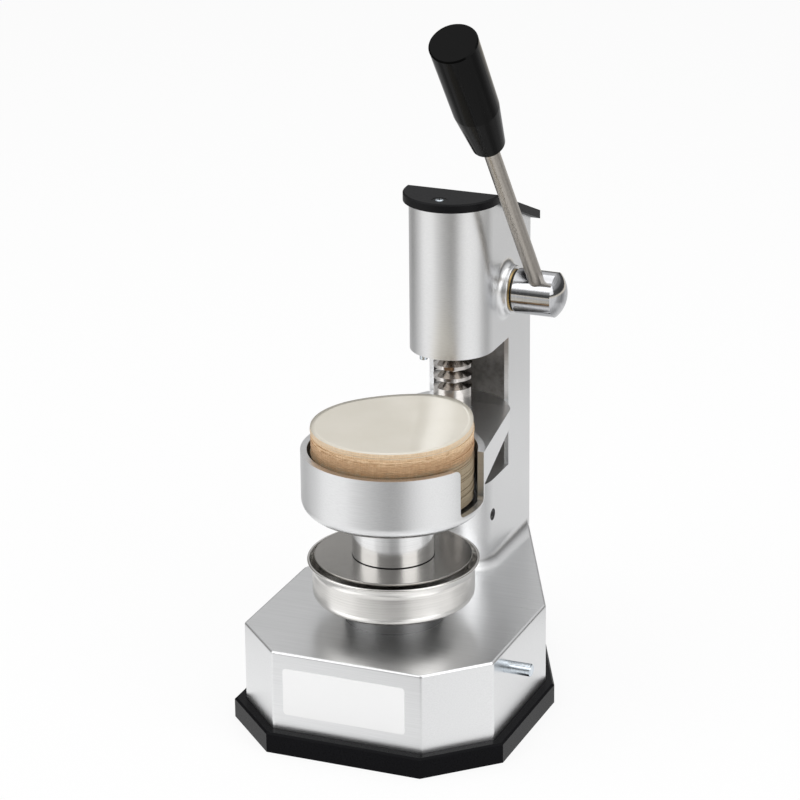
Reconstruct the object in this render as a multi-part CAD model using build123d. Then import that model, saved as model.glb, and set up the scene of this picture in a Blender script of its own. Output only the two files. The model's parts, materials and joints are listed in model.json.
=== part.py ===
from build123d import *
import math
import os

# Hand lever burger press, millimetres.
# Origin: on the table under the centre of the burger mould. +X right, +Y to the column, +Z up.

# Burger mould
BOWL_R = 50.9
BOWL_WALL = 1.1
BOWL_BOTTOM_Z = 79.1
RIM_Z = 106.0
RIM_R = BOWL_R + 3.1
RIM_ROLL_R = 0.9
BOWL_CORNER_R = 6.0

# Base casting and tray
DECK_Z = 65.6
DECK_T = 4.0
WALL = 4.0
EDGE_R = 1.6
STEM_R = 27.5
CAST_BOTTOM_Z = 10.0
CAST_FRONT = (49.5, -77.9)
CAST_SIDE_HALF = 83.6
CAST_SIDE_Y = (-43.5, 49.4)
CAST_REAR = (STEM_R, 170.0)
TRAY_OUT = 7.0
TRAY_FRONT = (CAST_FRONT[0] + 1.7, CAST_FRONT[1] - TRAY_OUT)
TRAY_SIDE_HALF = CAST_SIDE_HALF + TRAY_OUT
TRAY_SIDE_Y = (CAST_SIDE_Y[0] - 2.3, CAST_SIDE_Y[1] - 3.0)
TRAY_REAR = (CAST_REAR[0] + 2.0, CAST_REAR[1] + 7.5)
TRAY_H = 13.4
TRAY_FLOOR = 3.0
TRAY_FIT = 0.4
TRAY_LEDGE = 8.0
TRAY_LIP = 1.2
TRAY_BOSS_X = CAST_SIDE_HALF - 15.6
TRAY_BOSS_REAR_X = CAST_REAR[0] + 10.5
TRAY_BOSSES = [(TRAY_BOSS_X, -39.0), (-TRAY_BOSS_X, -39.0), (TRAY_BOSS_REAR_X, 118.0), (-TRAY_BOSS_REAR_X, 118.0)]
TRAY_BOSS_R = 6.5
SCREW_R = 2.5
SCREW_SEAT_Z = 3.5
RIVET_R = 1.6
RIVET_Y = 3.0

# Column and head
RAM_Y = 102.0
COLUMN_WALL = 3.0
COLUMN_BACK_WALL = 4.0
CHANNEL_FRONT_Y = RAM_Y + 28.3
SILL_Z = 123.0
HEAD_Z = 211.0
HEAD_TOP_Z = HEAD_Z + 98.5
FOLD_Y = RAM_Y + 1.0
ROOF_SLOPE = 23.2
DECK_FILLET = 8.0
HEAD_REAR_WALL = 12.0
CHEEK_HALF = 17.0
CAP_T = 5.5
CAP_OVERHANG = 3.7

# Rack and pinion
MODULE = 2.5
TEETH = 10
PRESSURE = math.radians(20)
PITCH = math.pi * MODULE
PITCH_R = MODULE * TEETH / 2
RAM_R = 12.5
RACK_ADDENDUM = 0.6 * MODULE
RACK_TIP_W = 0.88 * MODULE
RACK_NECK_R = RAM_R - 7.1
RACK_START_Z = HEAD_Z - 26.0
RAM_TOP_Z = HEAD_TOP_Z - 35.5
ROD_R = 8.0
SHAFT_Z = HEAD_Z + 34.5
SHAFT_Y = RAM_Y + RAM_R - RACK_ADDENDUM + PITCH_R
SHAFT_R = 7.0
PINION_W = 16.0
PINION_ADDENDUM = 1.2 * MODULE
PINION_ROOT_R = PITCH_R - 0.84 * MODULE
BACKLASH = 0.3
RUN = 0.05
BUSH_WALL = 2.5
PINION_PIN_R = 1.75
PEDESTAL_BUSH_Z = (SILL_Z - 37.0, SILL_Z - 1.5)
PEDESTAL_BUSH_R = ROD_R + 4
HEAD_BUSH_R = RAM_R + 3.5
SET_SCREW_Z = 98.7
SET_SCREW_R = 4.0

# Hub and lever
BOSS_R = SHAFT_R + 9.0
BOSS_X = STEM_R + 6.1
HUB_R = SHAFT_R + 7.5
HUB_X = (BOSS_X + 1.8, BOSS_X + 28.4)
HUB_DOME = 6.0
ROD_X = HUB_X[0] + 15.6
LEVER_R = 5.0
LEAN = 36.7
GRIP = (154.0, 190.0, 251.0)
GRIP_R = (10.4, 14.3, 15.0)
GRIP_BORE = 62.0
HUB_SCREW_R = 3.0

# Press arm with the disc cup
CUP_R = 57.0
CUP_WALL = 4.0
CUP_Z = (138.6, 178.7)
CUP_FLOOR = 4.4
CUP_CORNER_R = 9.0
ARM_REAR_R = 36.8
ARM_BOTTOM_Z = CUP_Z[0] + 18.1
PAD_Z = ARM_BOTTOM_Z + 11.3
PAD_Y = RAM_Y + 17.0
ARM_RISE = 0.10
SLOT_Y = (-20.4, 12.6)
SLOT_BOTTOM_Z = CUP_Z[0] + 8.4
STUB_R = 25.85
DISC_R = BOWL_R - BOWL_WALL - 0.4
DISC_Z = (RIM_Z + 0.3, RIM_Z + 2.2)
PAPER_R = CUP_R - CUP_WALL - 2.6
PAPER_ABOVE = 15.0
PAPER_PACKS = 6
RAM_SEAT_Z = PAD_Z + ARM_RISE * (PAD_Y - RAM_Y) + 1.5
BOLT_R = 4.0
CLAMP_SCREW_R = 3.0
NUT_HALF = 6.5
NUT_H = 5.0

# Ejector under the deck
STROKE_DOWN = 15.0
STROKE_UP = 30.0
PIVOT_Y = -62.0
PIVOT_Z = 20.0
PIVOT_R = 3.0
ROCKER_T = 5.0
ROCKER_HALF = 7.0
ROCKER_REAR_RISE = 9.0
FORK_HALF = 15.0
FORK_GAP = 0.5
CROSS_PIN_R = 3.0
EJECT_R = 5.0
EJECT_PLATE_R = BOWL_R - BOWL_WALL - 0.6
EJECT_PLATE_T = 3.4
EJECT_PLATE_EDGE = 3.0
EJECT_FLOOR_GAP = 0.4
TOUCH_GAP = 0.08

# Lock pin and bowl foot
SPIGOT_R = 24.0
LOCK_R = 4.0
LOCK_Y = -SPIGOT_R + 0.8
LOCK_Z = DECK_Z - 11.2
LOCK_OUT_X = CAST_SIDE_HALF + 17.4
LOCK_TIP_X = -14.0
SPIGOT_BOTTOM_Z = DECK_Z - 18.8
FOOT_R = 31.0
SOCKET_R = SPIGOT_R + 4.5
SEAT = 0.05
LOCK_TRAVEL = 30.0
LOCK_CLIP_X = CAST_SIDE_HALF - WALL - LOCK_TRAVEL - 2.0

ARM_A = -PIVOT_Y
ARM_B = RAM_Y - PIVOT_Y
LIFT_RATIO = ARM_A / ARM_B
REST_TILT = math.asin(ROCKER_REAR_RISE / ARM_B)


def cyl(r, z0, z1, x=0.0, y=0.0):
    return Pos(x, y, z0) * Cylinder(r, z1 - z0, align=(Align.CENTER, Align.CENTER, Align.MIN))


def ring(outer, inner, z0, z1, x=0.0, y=0.0):
    return cyl(outer, z0, z1, x, y) - cyl(inner, z0 - 1, z1 + 1, x, y)


def xcyl(r, x0, x1, y, z):
    return Pos(x0, y, z) * Rot(0, 90, 0) * Cylinder(r, x1 - x0, align=(Align.CENTER, Align.CENTER, Align.MIN))


def xring(outer, inner, x0, x1, y, z):
    return xcyl(outer, x0, x1, y, z) - xcyl(inner, x0 - 1, x1 + 1, y, z)


def block(x, y, z):
    size = (x[1] - x[0], y[1] - y[0], z[1] - z[0])
    return Pos(x[0], y[0], z[0]) * Box(*size, align=(Align.MIN, Align.MIN, Align.MIN))


def prism(face, z0, z1):
    return Pos(0, 0, z0) * extrude(face, z1 - z0)


def octagon(front, side_half, side_y, rear):
    right = [
        (front[0], front[1]),
        (side_half, side_y[0]),
        (side_half, side_y[1]),
        (rear[0], rear[1]),
    ]
    left = [(-x, y) for x, y in reversed(right)]
    return make_face(Polyline(*right, *left, close=True))


def inset(face, distance):
    return offset(face, -distance, kind=Kind.INTERSECTION)


def turned(points):
    """Solid of revolution about Z from (radius, height) points."""
    outline = Polyline(*[(r, 0, z) for r, z in points], close=True)
    return revolve(make_face(outline), Axis.Z)


def cast_plan():
    return octagon(CAST_FRONT, CAST_SIDE_HALF, CAST_SIDE_Y, CAST_REAR)


def tray_plan():
    return octagon(TRAY_FRONT, TRAY_SIDE_HALF, TRAY_SIDE_Y, TRAY_REAR)


def stem_plan(half, rear_y):
    nose = Pos(0, RAM_Y) * Circle(half)
    body = Pos(-half, RAM_Y) * Rectangle(2 * half, rear_y - RAM_Y, align=(Align.MIN, Align.MIN))
    return nose + body


def roof_cutter(height):
    """Everything above the head's flat front and sloping rear top."""
    run = 120.0
    drop = run * math.tan(math.radians(ROOF_SLOPE))
    profile = Polyline(
        (0, -200, height),
        (0, FOLD_Y, height),
        (0, FOLD_Y + run, height - drop),
        (0, FOLD_Y + run, height + 200),
        (0, -200, height + 200),
        close=True,
    )
    return Pos(-150, 0, 0) * extrude(make_face(profile), 300, dir=(1, 0, 0))


def circles_at(shape, x, radius):
    """Round edges of one radius in the plane at x."""
    found = []
    for edge in shape.edges().filter_by(GeomType.CIRCLE):
        box = edge.bounding_box()
        if abs(box.min.X - x) < 0.01 and abs(box.max.X - x) < 0.01 and abs(edge.radius - radius) < 0.01:
            found.append(edge)
    return found


def base_tray():
    shell = prism(tray_plan(), 0, TRAY_H)
    top = shell.edges().group_by(Axis.Z)[-1]
    shell = chamfer(top, TRAY_LIP)
    shell -= prism(inset(cast_plan(), -TRAY_FIT), CAST_BOTTOM_Z, TRAY_H + 1)
    shell -= prism(inset(cast_plan(), TRAY_LEDGE), TRAY_FLOOR, TRAY_H + 1)
    for x, y in TRAY_BOSSES:
        shell += cyl(TRAY_BOSS_R + 1.5, TRAY_FLOOR - 1, CAST_BOTTOM_Z, x, y)
    for x, y in TRAY_BOSSES:
        shell -= cyl(SCREW_R, -1, CAST_BOTTOM_Z + 1, x, y)
        shell -= cyl(2 * SCREW_R, -1, SCREW_SEAT_Z, x, y)
    for x in bracket_screw_x():
        shell -= cyl(RIVET_R, -1, TRAY_FLOOR + 1, x, PIVOT_Y + RIVET_Y)
    return shell


def tray_screws():
    group = []
    for x, y in TRAY_BOSSES:
        screw = cyl(SCREW_R, SCREW_SEAT_Z, CAST_BOTTOM_Z + 12, x, y)
        screw += cyl(2 * SCREW_R, 0.8, SCREW_SEAT_Z, x, y)
        screw -= Pos(x, y, 0.8) * cross_recess(2.8 * SCREW_R, 1.1)
        group.append(screw)
    return Compound(children=group)


def body_casting():
    plan = cast_plan()
    base = prism(plan, CAST_BOTTOM_Z, DECK_Z)
    base = fillet(base.edges().group_by(Axis.Z)[-1], EDGE_R)
    upright = [e for e in base.edges().filter_by(Axis.Z) if abs(e.center().Y) < 100]
    base = fillet(upright, 2.5)

    stem = stem_plan(STEM_R, CAST_REAR[1])
    plate = Pos(0, RAM_Y, DECK_Z - 5) * Box(300, 300, 10)
    flare = plate + prism(stem, DECK_Z, SILL_Z)
    foot = flare.edges().filter_by(lambda e: abs(e.bounding_box().max.Z - DECK_Z) < 0.01)
    foot = foot.filter_by(lambda e: e.center().Y < CAST_REAR[1] + 1 and abs(e.center().X) < 40)
    foot = foot.filter_by(lambda e: abs(e.bounding_box().min.Z - DECK_Z) < 0.01)
    flare = fillet(foot, DECK_FILLET)
    flare &= prism(inset(plan, EDGE_R), DECK_Z - 4, SILL_Z)
    column = prism(stem, DECK_Z, HEAD_TOP_Z)
    shell = base + flare + column

    # Window in front of the U-shaped column, and the channel between its walls
    shell -= block((-60, 60), (20, CHANNEL_FRONT_Y), (SILL_Z, HEAD_Z))
    inner = STEM_R - COLUMN_WALL
    channel_back = CAST_REAR[1] - COLUMN_BACK_WALL
    shell -= block((-inner, inner), (100, channel_back), (SILL_Z, HEAD_Z))

    # Shaft boss, blended into the side of the head
    boss = xcyl(BOSS_R, 10, BOSS_X, SHAFT_Y, SHAFT_Z)
    shell += boss
    shell = fillet(circles_at(shell, STEM_R, BOSS_R), 5.0)
    shell = fillet(circles_at(shell, BOSS_X, BOSS_R), 1.0)
    shell -= roof_cutter(HEAD_TOP_Z)

    # Hollow under the deck and inside the pedestal
    under = prism(inset(plan, WALL), CAST_BOTTOM_Z - 1, DECK_Z - DECK_T)
    socket = cyl(SOCKET_R, SPIGOT_BOTTOM_Z, DECK_Z)
    for x, y in TRAY_BOSSES:
        under -= cyl(TRAY_BOSS_R, CAST_BOTTOM_Z - 1, DECK_Z, x, y)
    shell -= under - socket
    for x, y in TRAY_BOSSES:
        shell -= cyl(SCREW_R, CAST_BOTTOM_Z - 1, CAST_BOTTOM_Z + 14, x, y)
    shell -= cyl(SPIGOT_R + SEAT, SPIGOT_BOTTOM_Z - 1, DECK_Z + 1)
    shell -= cyl(STEM_R - 6, DECK_Z - 6, PEDESTAL_BUSH_Z[0], 0, RAM_Y)
    shell -= cyl(PEDESTAL_BUSH_R, PEDESTAL_BUSH_Z[0] - 1, SILL_Z + 1, 0, RAM_Y)
    shell -= xcyl(SET_SCREW_R, 0, STEM_R + 1, RAM_Y, SET_SCREW_Z)
    shell -= xcyl(LOCK_R + RUN, LOCK_TIP_X - 1.5, CAST_SIDE_HALF + 1, LOCK_Y, LOCK_Z)

    # Ram bore, pinion chamber and shaft bores in the head
    shell -= cyl(HEAD_BUSH_R, HEAD_Z - 1, HEAD_TOP_Z + 1, 0, RAM_Y)
    chamber_front = RAM_Y + HEAD_BUSH_R + 3.5
    chamber_rear = CAST_REAR[1] - HEAD_REAR_WALL
    shell -= block((-CHEEK_HALF, CHEEK_HALF), (chamber_front, chamber_rear), (HEAD_Z + 8, HEAD_TOP_Z))
    slot_half = PINION_W / 2 + 1.6
    tip = PITCH_R + PINION_ADDENDUM + 1.5
    shell -= block((-slot_half, slot_half), (RAM_Y + 4, chamber_front + 1), (SHAFT_Z - tip, SHAFT_Z + tip))
    bush_r = SHAFT_R + BUSH_WALL
    shell -= xcyl(bush_r, -CHEEK_HALF - 8, 0, SHAFT_Y, SHAFT_Z)
    shell -= xcyl(bush_r, 0, BOSS_X + 1, SHAFT_Y, SHAFT_Z)
    for place in cap_screw_places():
        shell -= place * cyl(SCREW_R - 0.5, -14, 1)
    shell -= stop_pin()
    return shell


def cap_screw_places():
    """Screw axes on the cap's seat: one in the flat front, one in the sloping rear."""
    front = Pos(0, RAM_Y - (HEAD_BUSH_R + STEM_R) / 2, HEAD_TOP_Z)
    rear_y = CAST_REAR[1] - HEAD_REAR_WALL / 2
    rear_z = HEAD_TOP_Z - (rear_y - FOLD_Y) * math.tan(math.radians(ROOF_SLOPE))
    rear = Pos(0, rear_y, rear_z) * Rot(-ROOF_SLOPE, 0, 0)
    return [front, rear]


def top_cap():
    plan = stem_plan(STEM_R + CAP_OVERHANG, CAST_REAR[1] + 8)
    rise = CAP_T / math.cos(math.radians(ROOF_SLOPE / 2))
    cap = prism(plan, HEAD_TOP_Z - 60, HEAD_TOP_Z + 30)
    cap -= roof_cutter(HEAD_TOP_Z + rise)
    lower = prism(plan, HEAD_TOP_Z - 61, HEAD_TOP_Z + 31) - roof_cutter(HEAD_TOP_Z)
    cap -= lower
    upper = cap.edges().filter_by(lambda e: e.center().Z > HEAD_TOP_Z + CAP_T - 0.5 and e.center().Y < FOLD_Y - 2)
    cap = chamfer(upper, 0.9)
    for place in cap_screw_places():
        cap -= place * cyl(SCREW_R, -1, CAP_T + 4)
        cap -= place * cyl(2 * SCREW_R, CAP_T - 1.2, CAP_T + 4)
    return cap


def cross_recess(radius, depth):
    arm = Box(radius, radius * 0.28, 2 * depth)
    return arm + Rot(0, 0, 90) * arm


def cap_screws():
    group = []
    for place in cap_screw_places():
        screw = cyl(SCREW_R - 0.5, -12, CAP_T - 1.2) + cyl(2 * SCREW_R - 0.2, CAP_T - 1.2, CAP_T + 0.6)
        screw -= Pos(0, 0, CAP_T + 0.6) * cross_recess(2 * SCREW_R, 1.2)
        group.append(place * screw)
    return Compound(children=group)


def head_bush():
    return ring(HEAD_BUSH_R, RAM_R + RUN, HEAD_Z + 0.6, HEAD_Z + 15.5, 0, RAM_Y)


def pedestal_bush():
    bush = ring(PEDESTAL_BUSH_R, ROD_R + RUN, PEDESTAL_BUSH_Z[0], PEDESTAL_BUSH_Z[1], 0, RAM_Y)
    return bush - xcyl(SET_SCREW_R, PEDESTAL_BUSH_R - 1.5, STEM_R, RAM_Y, SET_SCREW_Z)


def bush_set_screw():
    screw = xcyl(SET_SCREW_R, PEDESTAL_BUSH_R - 1.5, STEM_R - 2.2, RAM_Y, SET_SCREW_Z)
    hexagon = extrude(RegularPolygon(2.0, 6), 3.5)
    return screw - Pos(STEM_R - 2.2 - 3.4, RAM_Y, SET_SCREW_Z) * Rot(0, 90, 0) * hexagon


def ring_centres():
    """Heights of the rack rings' middles."""
    groove = PITCH - RACK_TIP_W
    first = RACK_START_Z + groove + RACK_TIP_W / 2
    count = int((RAM_TOP_Z - first) / PITCH)
    return [first + PITCH * k for k in range(count + 1)]


def ram():
    groove_half = (PITCH - RACK_TIP_W) / 2
    neck_half = groove_half - (RAM_R - RACK_NECK_R) * math.tan(PRESSURE)
    points = [(0, ROD_BOTTOM_Z), (ROD_R - 0.8, ROD_BOTTOM_Z), (ROD_R, ROD_BOTTOM_Z + 0.8)]
    points += [(ROD_R, RAM_SEAT_Z), (RAM_R, RAM_SEAT_Z)]
    for centre in ring_centres():
        z = centre - PITCH / 2
        if z + groove_half + RACK_TIP_W / 2 > RAM_TOP_Z:
            break
        points += [(RAM_R, z - groove_half), (RACK_NECK_R, z - neck_half)]
        points += [(RACK_NECK_R, z + neck_half), (RAM_R, z + groove_half)]
    points += [(RAM_R, RAM_TOP_Z - 1), (RAM_R - 1, RAM_TOP_Z), (0, RAM_TOP_Z)]
    body = Pos(0, RAM_Y, 0) * turned(points)
    return body - xcyl(CROSS_PIN_R, -2 * ROD_R, 2 * ROD_R, RAM_Y, CROSS_PIN_Z)


# Contact heights of the rocker with the ram's cross pin and with the ejector rod
def rocker_tilts():
    low = REST_TILT - STROKE_DOWN / ARM_B
    high = REST_TILT + STROKE_UP / ARM_B
    return [low + (high - low) * k / 8 for k in range(9)]


def rest_gap_rear():
    need = ROCKER_T / 2 + CROSS_PIN_R + TOUCH_GAP
    return min(
        ARM_B * math.tan(t) - need / math.cos(t) - ARM_B * (t - REST_TILT) for t in rocker_tilts()
    )


def rest_gap_front():
    need = ROCKER_T / 2 + EJECT_R + TOUCH_GAP
    return max(
        ARM_A * math.tan(t) + need / math.cos(t) - ARM_A * (t - REST_TILT) for t in rocker_tilts()
    )


CROSS_PIN_Z = PIVOT_Z + rest_gap_rear()
ROD_BOTTOM_Z = CROSS_PIN_Z - CROSS_PIN_R - 1.0
EJECT_BALL_Z = PIVOT_Z + rest_gap_front()
EJECT_TOP_PRESSED_Z = BOWL_BOTTOM_Z + BOWL_WALL + EJECT_FLOOR_GAP + EJECT_PLATE_T
EJECT_TOP_REST_Z = EJECT_TOP_PRESSED_Z + STROKE_DOWN * LIFT_RATIO


def cross_pin():
    return xcyl(CROSS_PIN_R, -FORK_HALF, FORK_HALF, RAM_Y, CROSS_PIN_Z)


def involute_point(radius, half_angle_at_pitch):
    """Point of a tooth flank at a radius, as (across, outward)."""
    base = PITCH_R * math.cos(PRESSURE)

    def involute(r):
        a = math.acos(min(1.0, base / r))
        return math.tan(a) - a

    angle = half_angle_at_pitch + involute(PITCH_R) - involute(radius)
    return radius * math.sin(angle), radius * math.cos(angle)


def pinion():
    base = PITCH_R * math.cos(PRESSURE)
    tip = PITCH_R + PINION_ADDENDUM
    ring_w = RACK_TIP_W + 2 * RACK_ADDENDUM * math.tan(PRESSURE)
    half_angle = (PITCH - ring_w - BACKLASH) / 2 / PITCH_R
    low = involute_point(base, half_angle)
    mid = involute_point((base + tip) / 2, half_angle)
    top = involute_point(tip, half_angle)
    squeeze = PINION_ROOT_R / base
    root = (low[0] * squeeze * 0.94, low[1] * squeeze)
    mirror = [(-x, y) for x, y in (root, low, mid, top)]
    outline = [
        Line((root[0], 0), root),
        Line(root, low),
        ThreePointArc(low, mid, top),
        ThreePointArc(top, (0, tip), mirror[3]),
        ThreePointArc(mirror[3], mirror[2], mirror[1]),
        Line(mirror[1], mirror[0]),
        Line(mirror[0], (mirror[0][0], 0)),
        Line((mirror[0][0], 0), (root[0], 0)),
    ]
    tooth = make_face(Wire(outline))
    face = Circle(PINION_ROOT_R)
    centres = [c - PITCH / 2 for c in ring_centres()]
    nearest = min(centres, key=lambda z: abs(z - SHAFT_Z))
    phase = math.degrees((nearest - SHAFT_Z) / PITCH_R)
    for k in range(TEETH):
        face += Rot(0, 0, k * 360 / TEETH) * tooth
    # The sketch's Y points at the ram and its X points up
    axis = Plane(origin=(-PINION_W / 2, SHAFT_Y, SHAFT_Z), x_dir=(0, 0, 1), z_dir=(1, 0, 0))
    gear = axis * extrude(Rot(0, 0, -phase) * face, PINION_W)
    gear -= xcyl(SHAFT_R, -PINION_W, PINION_W, SHAFT_Y, SHAFT_Z)
    return gear - pin_across(phase), phase


def pin_across(phase):
    """Pin through the pinion's root and the shaft, between two teeth."""
    half_step = 180 / TEETH
    turn = Rot(phase + half_step, 0, 0)
    pin = cyl(PINION_PIN_R, -PINION_ROOT_R + 0.4, PINION_ROOT_R - 0.4)
    return Pos(0, SHAFT_Y, SHAFT_Z) * turn * Rot(90, 0, 0) * pin


def pinion_shaft(phase):
    shaft = xcyl(SHAFT_R, -CHEEK_HALF - 7.6, HUB_X[1] - 8, SHAFT_Y, SHAFT_Z)
    shaft = chamfer(shaft.edges().filter_by(GeomType.CIRCLE), 0.6)
    return shaft - pin_across(phase)


def shaft_bush(x0, x1):
    return xring(SHAFT_R + BUSH_WALL, SHAFT_R + RUN, x0, x1, SHAFT_Y, SHAFT_Z)


def lever_axis():
    """From the shaft axis in the rod's plane, Z along the lever."""
    return Pos(ROD_X, SHAFT_Y, SHAFT_Z) * Rot(LEAN, 0, 0)


def lever_hub():
    bottom, top = HUB_X
    ball = (HUB_R**2 + HUB_DOME**2) / (2 * HUB_DOME)
    half = math.asin(HUB_R / ball) / 2
    mid = (ball * math.sin(half), 0, top + HUB_DOME - ball + ball * math.cos(half))
    outline = [
        Line((0, 0, bottom), (HUB_R - 0.8, 0, bottom)),
        Line((HUB_R - 0.8, 0, bottom), (HUB_R, 0, bottom + 0.8)),
        Line((HUB_R, 0, bottom + 0.8), (HUB_R, 0, top)),
        ThreePointArc((HUB_R, 0, top), mid, (0, 0, top + HUB_DOME)),
        Line((0, 0, top + HUB_DOME), (0, 0, bottom)),
    ]
    hub = revolve(make_face(Wire(outline)), Axis.Z)
    hub = Pos(0, SHAFT_Y, SHAFT_Z) * Rot(0, 90, 0) * hub
    hub -= xcyl(SHAFT_R, 0, HUB_X[1] - 8, SHAFT_Y, SHAFT_Z)
    hub -= lever_axis() * cyl(LEVER_R, SHAFT_R + 1, HUB_R + 2)
    hub -= lever_axis() * cyl(HUB_SCREW_R, -HUB_R - 2, -SHAFT_R + 1)
    return hub


def hub_set_screw():
    screw = cyl(HUB_SCREW_R, -HUB_R + 1.4, -SHAFT_R)
    recess = Pos(0, 0, -HUB_R + 1.3) * extrude(RegularPolygon(1.7, 6), 3)
    return lever_axis() * (screw - recess)


def lever_rod():
    rod = cyl(LEVER_R, SHAFT_R + 1, GRIP[0] + GRIP_BORE)
    return lever_axis() * chamfer(rod.edges().filter_by(GeomType.CIRCLE), 0.5)


def lever_grip():
    bottom, knee, top = GRIP
    low_r, knee_r, top_r = GRIP_R
    points = [(0, bottom), (low_r - 1.2, bottom), (low_r, bottom + 1.6), (knee_r, knee)]
    points += [(top_r, top - 1.0), (top_r - 0.9, top), (0, top)]
    grip = turned(points)
    grip -= cyl(LEVER_R, bottom - 1, bottom + GRIP_BORE)
    return lever_axis() * grip


def bowl():
    r = BOWL_R
    inner = r - BOWL_WALL
    z = BOWL_BOTTOM_Z
    floor = z + BOWL_WALL
    hole = EJECT_R + RUN
    bend = BOWL_CORNER_R * (1 - math.sqrt(0.5))
    flare_z = RIM_Z - 8
    lip_z = RIM_Z - 1.8
    outline = [
        Line((hole, 0, z), (r - BOWL_CORNER_R, 0, z)),
        ThreePointArc((r - BOWL_CORNER_R, 0, z), (r - bend, 0, z + bend), (r, 0, z + BOWL_CORNER_R)),
        Line((r, 0, z + BOWL_CORNER_R), (r, 0, flare_z)),
        ThreePointArc((r, 0, flare_z), (r + 0.55, 0, flare_z + 3.3), (RIM_R - RIM_ROLL_R, 0, lip_z)),
        ThreePointArc((RIM_R - RIM_ROLL_R, 0, lip_z), (RIM_R, 0, RIM_Z - 0.8), (RIM_R - 0.9, 0, RIM_Z)),
        ThreePointArc((RIM_R - 0.9, 0, RIM_Z), (RIM_R - 1.7, 0, RIM_Z - 0.4), (RIM_R - 2.0, 0, RIM_Z - 1.2)),
        ThreePointArc((RIM_R - 2.0, 0, RIM_Z - 1.2), (inner + 0.7, 0, flare_z + 3.5), (inner, 0, flare_z)),
        Line((inner, 0, flare_z), (inner, 0, z + BOWL_CORNER_R)),
        ThreePointArc(
            (inner, 0, z + BOWL_CORNER_R),
            (inner - bend + 0.3, 0, floor + bend - 0.3),
            (r - BOWL_CORNER_R, 0, floor),
        ),
        Line((r - BOWL_CORNER_R, 0, floor), (hole, 0, floor)),
        Line((hole, 0, floor), (hole, 0, z)),
    ]
    return revolve(make_face(Wire(outline)), Axis.Z)


def bowl_foot():
    groove_r = -LOCK_Y - LOCK_R - 0.2
    low = LOCK_Z - LOCK_R - 0.25
    high = LOCK_Z + LOCK_R + 0.25
    bore = EJECT_R + RUN
    points = [
        (bore, SPIGOT_BOTTOM_Z),
        (SPIGOT_R - 1.5, SPIGOT_BOTTOM_Z),
        (SPIGOT_R, SPIGOT_BOTTOM_Z + 1.5),
        (SPIGOT_R, low),
        (groove_r, low),
        (groove_r, high),
        (SPIGOT_R, high),
        (SPIGOT_R, DECK_Z),
        (FOOT_R, DECK_Z),
        (FOOT_R, BOWL_BOTTOM_Z),
        (bore, BOWL_BOTTOM_Z),
    ]
    return turned(points)


def lock_pin():
    x0, x1 = LOCK_TIP_X, LOCK_OUT_X
    pin = xcyl(LOCK_R, x0, x1, LOCK_Y, LOCK_Z)
    pin = chamfer(pin.edges().filter_by(GeomType.CIRCLE), 0.7)
    groove = xring(LOCK_R + 1, LOCK_R - 0.8, LOCK_CLIP_X, LOCK_CLIP_X + 1.0, LOCK_Y, LOCK_Z)
    return pin - groove


def lock_clip():
    clip = xring(LOCK_R + 2.2, LOCK_R - 0.8, LOCK_CLIP_X, LOCK_CLIP_X + 1.0, LOCK_Y, LOCK_Z)
    mouth = block((0, 90), (LOCK_Y - 2.2, LOCK_Y + 2.2), (LOCK_Z - 9, LOCK_Z))
    return clip - mouth


def ejector_plate():
    top = EJECT_TOP_REST_Z
    plate = cyl(EJECT_PLATE_R, top - EJECT_PLATE_T, top)
    plate = chamfer(plate.edges().group_by(Axis.Z)[0], EJECT_PLATE_EDGE)
    plate = chamfer(plate.edges().group_by(Axis.Z)[-1], 0.3)
    return plate - screw_cone(top, 4.0, 2.0, -1)


def screw_cone(z, head_r, shank_r, way):
    """Countersunk screw with its face at z; way is -1 where it points down."""
    depth = head_r - shank_r
    points = [(0, z), (head_r, z), (shank_r, z + way * depth), (shank_r, z + way * 14), (0, z + way * 14)]
    return turned(points)


def plate_screw():
    screw = screw_cone(EJECT_TOP_REST_Z, 4.0, 2.0, -1)
    return screw - Pos(0, 0, EJECT_TOP_REST_Z) * cross_recess(4.4, 1.2)


def ejector_rod():
    top = EJECT_TOP_REST_Z - EJECT_PLATE_T
    rod = cyl(EJECT_R, EJECT_BALL_Z, top) + Pos(0, 0, EJECT_BALL_Z) * Sphere(EJECT_R)
    return rod - screw_cone(EJECT_TOP_REST_Z, 4.0, 2.0, -1)


def rocker():
    """Flat lever with an eye on the pivot and a fork round the ram, tilted to its rest angle."""
    fork_start = ARM_B - ROD_R - 9
    fork_end = ARM_B + 11
    half_t = ROCKER_T / 2
    bar = block((-ROCKER_HALF, ROCKER_HALF), (0, fork_start + 4), (-half_t, half_t))
    fork = block((-FORK_HALF, FORK_HALF), (fork_start, fork_end), (-half_t, half_t))
    corners = fork.edges().filter_by(Axis.Z)
    fork = fillet(corners, 5)
    eye = xcyl(2 * PIVOT_R, -ROCKER_HALF, ROCKER_HALF, 0, 0)
    lever = bar + fork + eye
    gap = ROD_R + FORK_GAP
    centre = ARM_B / math.cos(REST_TILT)
    lever -= cyl(gap, -10, 10, 0, centre)
    lever -= block((-gap, gap), (centre, fork_end + 5), (-10, 10))
    lever -= xcyl(PIVOT_R + RUN, -20, 20, 0, 0)
    return Pos(0, PIVOT_Y, PIVOT_Z) * Rot(math.degrees(REST_TILT), 0, 0) * lever


def rocker_bracket():
    base_t = 2.0
    inner = ROCKER_HALF + 0.5
    outer = inner + 2.5
    y = (PIVOT_Y - 7.2, PIVOT_Y + 10)
    body = block((-outer - 9, outer + 9), y, (TRAY_FLOOR, TRAY_FLOOR + base_t))
    for side in (-1, 1):
        x = sorted((side * inner, side * outer))
        body += block(x, y, (TRAY_FLOOR, PIVOT_Z + 5.5))
    body -= xcyl(PIVOT_R, -40, 40, PIVOT_Y, PIVOT_Z)
    for x in bracket_screw_x():
        body -= cyl(RIVET_R, 0, 10, x, PIVOT_Y + RIVET_Y)
    return body


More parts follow.
